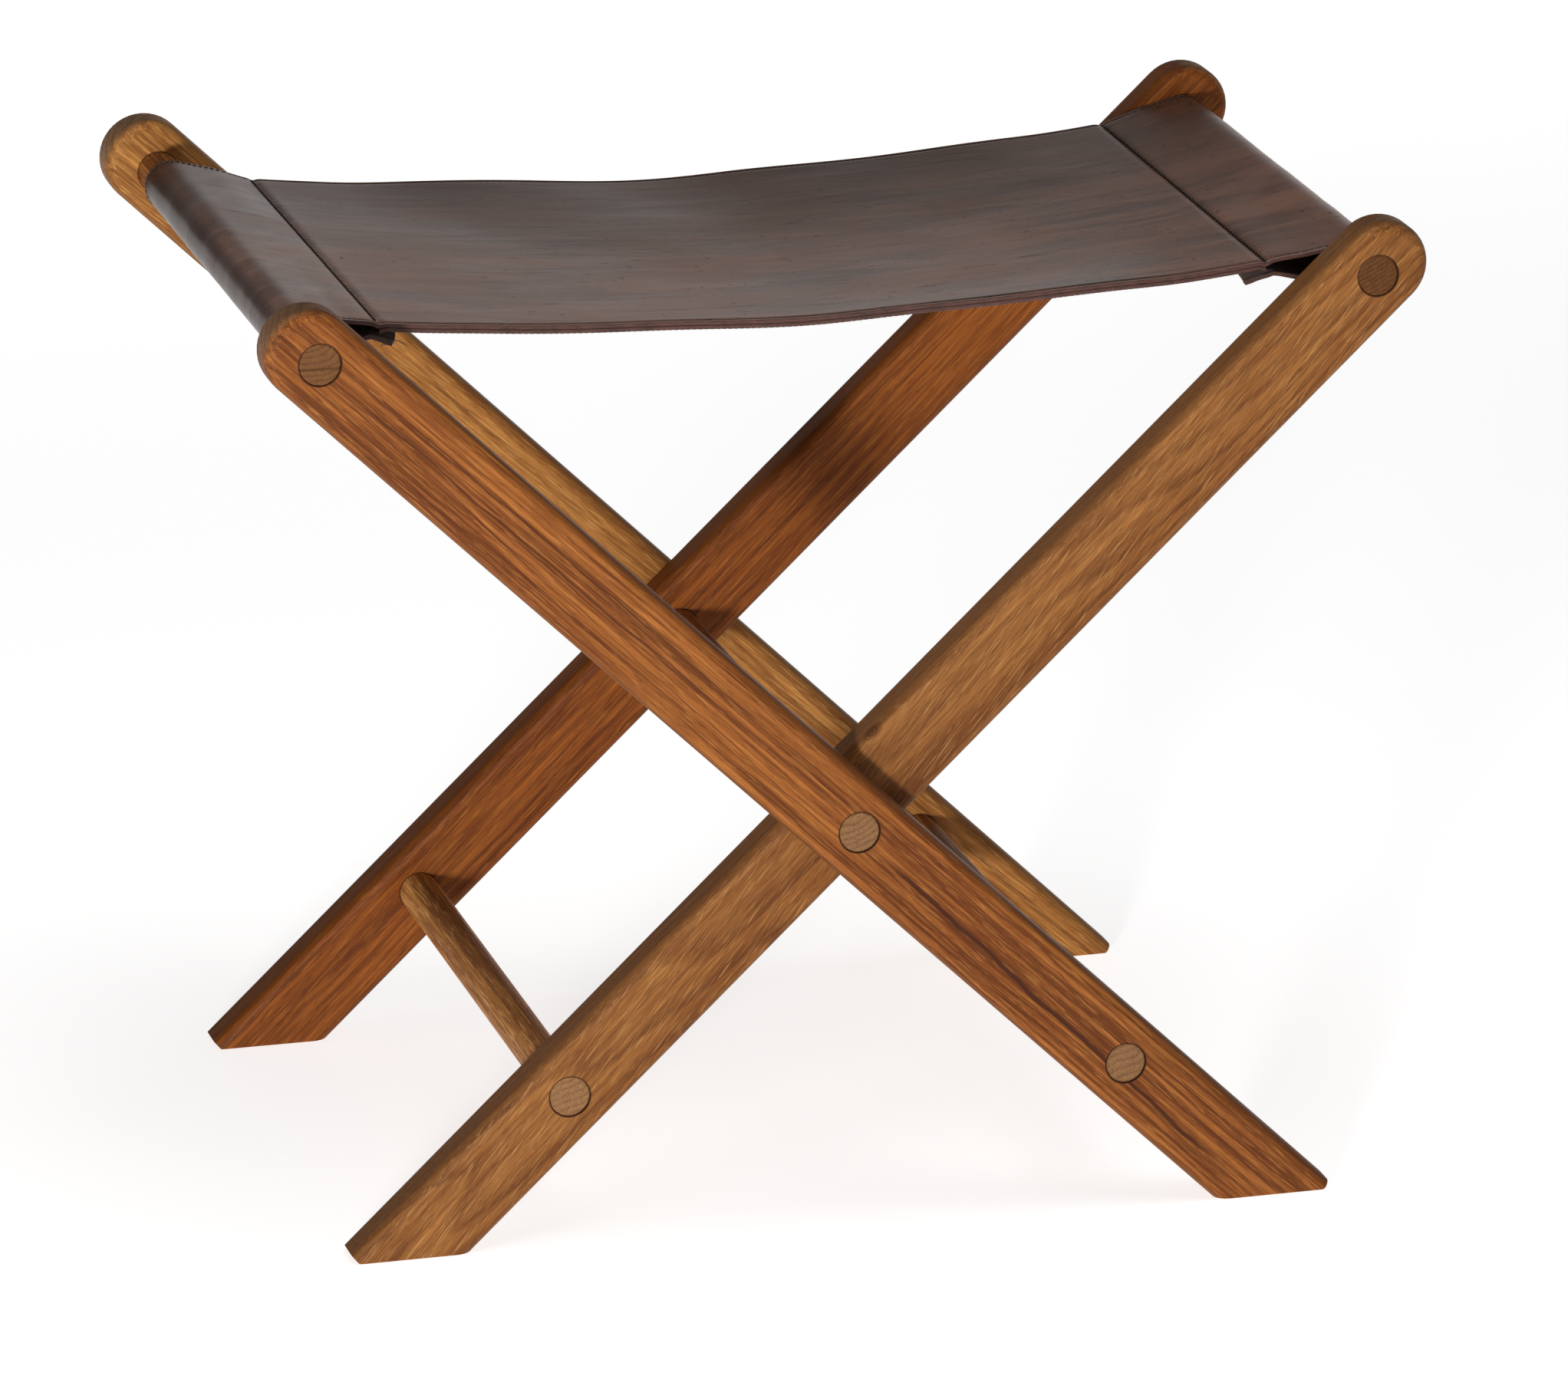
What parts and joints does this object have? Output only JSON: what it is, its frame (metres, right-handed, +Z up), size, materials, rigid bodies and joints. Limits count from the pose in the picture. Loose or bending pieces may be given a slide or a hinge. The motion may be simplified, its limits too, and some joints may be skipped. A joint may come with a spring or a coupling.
{
  "type": "camp stool",
  "caption": "Folding camp stool: two pivoted X frames of flat wooden legs and round dowels, with a leather sling seat sewn round the top rails.",
  "frame": {"origin": "on the floor under the pivot, half way between the near and far legs", "axes": "+X along the seat's span towards the inner frame's rail, +Y across the stool's depth, +Z up"},
  "size_m": [0.5732, 0.37, 0.4808],
  "materials": {
    "teak": "oiled teak, satin",
    "leather": "dark brown waxed leather, soft sheen",
    "thread": "waxed polyester thread"
  },
  "bodies": {
    "outer_frame": {"outer_leg_near": "teak", "outer_leg_far": "teak", "outer_seat_rail": "teak", "outer_stretcher": "teak", "pivot_dowel": "teak"},
    "inner_frame": {"inner_leg_near": "teak", "inner_leg_far": "teak", "inner_seat_rail": "teak", "inner_stretcher": "teak"},
    "seat_outer_half": {"seat_leather_outer_half": "leather", "seat_lining_outer_half": "leather", "outer_cross_seam": "thread", "edge_stitches_near_outer_half": "thread", "edge_stitches_far_outer_half": "thread"},
    "seat_inner_half": {"seat_leather_inner_half": "leather", "seat_lining_inner_half": "leather", "edge_stitches_near_inner_half": "thread", "edge_stitches_far_inner_half": "thread"},
    "seat_inner_sleeve": {"inner_sleeve_leather": "leather", "inner_cross_seam": "thread", "inner_sleeve_stitches_near": "thread", "inner_sleeve_stitches_far": "thread"}
  },
  "joints": [
    {"name": "fold", "type": "hinge", "parent": "outer_frame", "child": "inner_frame", "pos_m": [0, 0, 0.2055], "axis": [0, -1, 0], "range_deg": [0, 82.5], "deforming": ["seat_leather_outer_half", "seat_lining_outer_half", "outer_cross_seam", "edge_stitches_near_outer_half", "edge_stitches_far_outer_half", "seat_leather_inner_half", "seat_lining_inner_half", "edge_stitches_near_inner_half", "edge_stitches_far_inner_half", "inner_sleeve_leather", "inner_cross_seam", "inner_sleeve_stitches_near", "inner_sleeve_stitches_far"]},
    {"name": "seat_outer_turn", "type": "hinge", "parent": "outer_frame", "child": "seat_outer_half", "pos_m": [-0.26077, 0, 0.45514], "axis": [0, 1, 0], "range_deg": [0, 39.21]},
    {"name": "seat_crease", "type": "hinge", "parent": "seat_outer_half", "child": "seat_inner_half", "pos_m": [0, 0, 0.4432], "axis": [0, -1, 0], "range_deg": [0, 160.91]},
    {"name": "inner_sleeve_turn", "type": "hinge", "parent": "inner_frame", "child": "seat_inner_sleeve", "pos_m": [0.26077, 0, 0.45514], "axis": [0, -1, 0], "range_deg": [0, 39.21]}
  ],
  "couplings": [
    {"joint": "seat_outer_turn", "follows": "fold", "ratio": 0.47523},
    {"joint": "seat_crease", "follows": "fold", "ratio": 1.9505},
    {"joint": "inner_sleeve_turn", "follows": "fold", "ratio": 0.47523}
  ]
}
